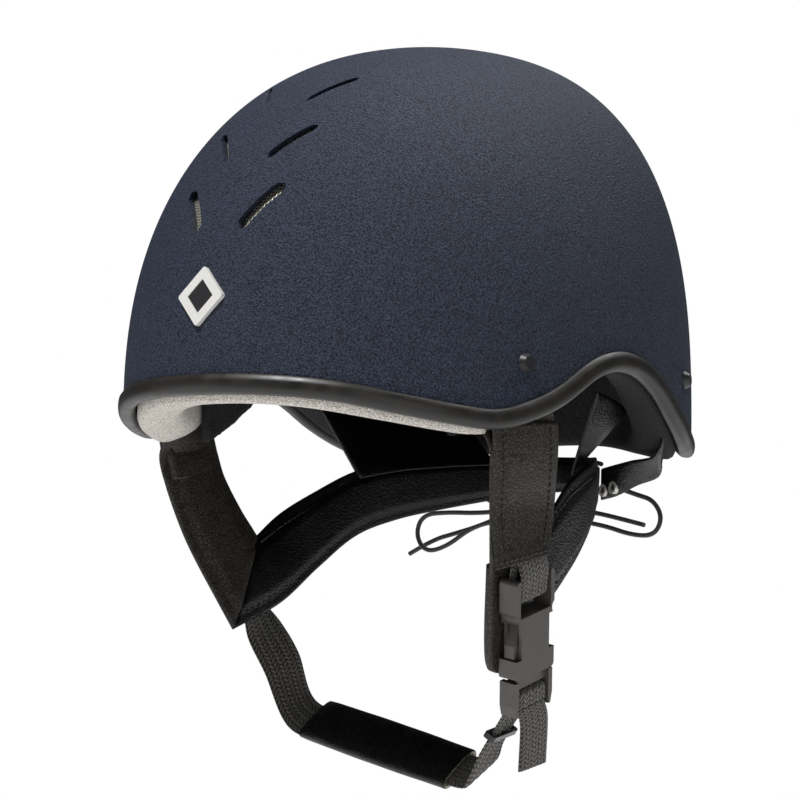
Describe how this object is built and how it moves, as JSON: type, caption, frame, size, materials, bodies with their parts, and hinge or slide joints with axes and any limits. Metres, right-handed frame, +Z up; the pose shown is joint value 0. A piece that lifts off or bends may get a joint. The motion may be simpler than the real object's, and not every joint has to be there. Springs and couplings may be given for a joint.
{
  "type": "riding helmet",
  "caption": "Skull-type riding helmet with vented shell, lining, laced leather harness, and chin strap with pad and side-release buckle.",
  "frame": {"origin": "centre of the shell's plan at the level of its rim, inside the head opening", "axes": "+Z up through the crown, -Y towards the wearer's face, +X towards the wearer's left"},
  "size_m": [0.2244, 0.2741, 0.3214],
  "materials": {
    "shell": "fine pebbled, low sheen",
    "trim": "satin",
    "foam": "matt beaded foam",
    "light_felt": "short felt",
    "dark_felt": "flecked felt",
    "leather": "soft black leather, satin",
    "webbing": "ribbed woven webbing",
    "buckle": "satin moulded",
    "keeper": "smooth elastic",
    "badge": "bright",
    "inlay": "dark enamel",
    "rivet": "satin black",
    "washer": "plain",
    "eyelet": "bright",
    "lace": "round braided cord",
    "mesh": "fine woven wire"
  },
  "bodies": {
    "helmet": {"outer_shell": "shell", "edge_trim": "trim", "eps_liner": "foam", "brow_lining": "light_felt", "nape_lining": "dark_felt", "crown_pad": "dark_felt", "side_pad_left": "dark_felt", "side_pad_right": "dark_felt", "front_strap_left": "leather", "front_strap_right": "leather", "rear_strap_left": "leather", "rear_strap_right": "leather", "nape_joiner": "leather", "nape_panel_left": "leather", "nape_panel_right": "leather", "lace_flap_left": "leather", "lace_flap_right": "leather", "badge_plate": "badge", "badge_inlay": "inlay", "harness_rivets": "rivet", "rivet_washers": "washer", "lace_eyelets": "eyelet", "lace_right_swing": "lace", "lace_right_tail": "lace", "lace_left_loop": "lace", "lace_left_tail": "lace", "lace_left_swing": "lace", "lace_cross_strand": "lace", "lace_knot": "lace", "vent_mesh_left": "mesh", "vent_mesh_right": "mesh"},
    "chin_mount": {"buckle_female": "buckle", "buckle_loop": "webbing", "webbing_anchor": "webbing"},
    "chin_sling": {"buckle_male": "buckle", "chin_webbing": "webbing", "webbing_turn": "webbing"},
    "prong_front": {"prong_front": "buckle"},
    "prong_rear": {"prong_rear": "buckle"},
    "chin_pad": {"chin_pad": "leather"},
    "strap_keeper": {"strap_keeper": "keeper"},
    "webbing_tail": {"webbing_tail": "webbing"}
  },
  "joints": [
    {"name": "chin_strap_swing", "type": "hinge", "parent": "helmet", "child": "chin_mount", "pos_m": [0.088, -0.027, -0.06], "axis": [0.9948, -0.0734, 0.0711], "range_deg": [-4, 8]},
    {"name": "buckle_latch_slide", "type": "slide", "parent": "chin_mount", "child": "chin_sling", "axis": [-0.2102, 0.2504, -0.945], "range_m": [0, 0.02]},
    {"name": "prong_rear_flex", "type": "hinge", "parent": "chin_sling", "child": "prong_rear", "pos_m": [0.07848, -0.01017, -0.1045], "axis": [0.9777, 0.054, -0.2031], "range_deg": [0, 5], "stiffness_Nm_per_rad": 0.1},
    {"name": "prong_front_flex", "type": "hinge", "parent": "chin_sling", "child": "prong_front", "pos_m": [0.07848, -0.02621, -0.10875], "axis": [-0.9777, -0.054, 0.2031], "range_deg": [0, 5], "stiffness_Nm_per_rad": 0.1},
    {"name": "chin_pad_slide", "type": "slide", "parent": "chin_sling", "child": "chin_pad", "axis": [0.9767, 0, -0.2144], "range_m": [-0.005, 0.003]},
    {"name": "keeper_slide", "type": "slide", "parent": "chin_sling", "child": "strap_keeper", "axis": [0.577, 0.0281, 0.8163], "range_m": [-0.004, 0.003]},
    {"name": "webbing_tail_swing", "type": "hinge", "parent": "chin_sling", "child": "webbing_tail", "pos_m": [0.07777, -0.01467, -0.11992], "axis": [-0.0002, 0.9666, 0.2562], "range_deg": [-20, 0]}
  ]
}
